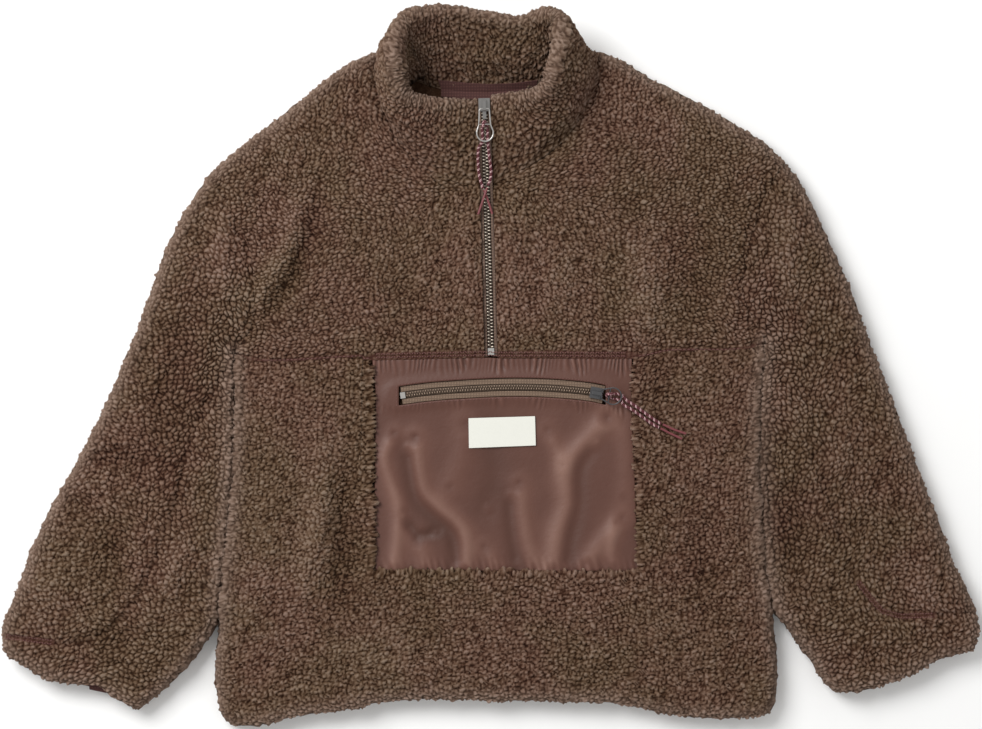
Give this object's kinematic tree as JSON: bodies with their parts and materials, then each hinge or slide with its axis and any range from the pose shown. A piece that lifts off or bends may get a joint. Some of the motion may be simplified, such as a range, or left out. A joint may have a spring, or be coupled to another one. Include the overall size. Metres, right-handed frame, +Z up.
{
  "type": "sherpa jacket",
  "caption": "Child's half-zip pullover jacket in curly sherpa pile, laid flat, with a stand collar, a satin zip pocket and corded zip pulls.",
  "frame": {"origin": "middle of the jacket's box in plan, on the surface that it lies on", "axes": "+Z up out of the front, +Y towards the collar, +X to the right as seen from above"},
  "size_m": [0.7312, 0.5364, 0.0581],
  "materials": {
    "sherpa": "curly brown pile, 8 mm deep with its ground",
    "facing": "burgundy-brown twill tape",
    "satin": "soft satin, dusty brown",
    "label": "woven, bare",
    "tape": "woven zip tape",
    "teeth": "coil teeth, olive-taupe",
    "nickel": "bright nickel",
    "gunmetal": "dark gunmetal",
    "cord": "round braid, dark burgundy with pale flecks",
    "tip": "heat-sealed, shrunk cord end"
  },
  "bodies": {
    "jacket": {"back": "sherpa", "collar": "sherpa", "cuff_facing": "facing", "front_lower": "sherpa", "front_upper_left": "sherpa", "front_upper_right": "sherpa", "label": "label", "neck_facing": "facing", "neck_zip_chain": "teeth", "neck_zip_slider": "nickel", "neck_zip_stop": "nickel", "neck_zip_tape_left": "tape", "neck_zip_tape_right": "tape", "pocket_panel": "satin", "pocket_zip_chain": "teeth", "pocket_zip_slider": "gunmetal", "pocket_zip_stop": "gunmetal", "pocket_zip_tape_lower": "tape", "pocket_zip_tape_upper": "tape", "sleeve_left": "sherpa", "sleeve_right": "sherpa"},
    "neck_pull": {"neck_zip_pull": "nickel", "neck_bight": "cord", "neck_cord_left": "cord", "neck_cord_right": "cord", "neck_tip_left": "tip", "neck_tip_right": "tip"},
    "pocket_pull": {"pocket_zip_pull": "gunmetal", "pocket_bight": "cord", "pocket_cord_upper": "cord", "pocket_cord_lower": "cord", "pocket_tip_upper": "tip", "pocket_tip_lower": "tip"}
  },
  "joints": [
    {"name": "neck_pull_swing", "type": "hinge", "parent": "jacket", "child": "neck_pull", "pos_m": [-0.00459, 0.19186, 0.03586], "axis": [-0.9996, -0.0279, 0], "range_deg": [0, 150]},
    {"name": "pocket_pull_swing", "type": "hinge", "parent": "jacket", "child": "pocket_pull", "pos_m": [0.08186, -0.01938, 0.0214], "axis": [-0.1831, -0.9831, 0], "range_deg": [0, 105]}
  ]
}
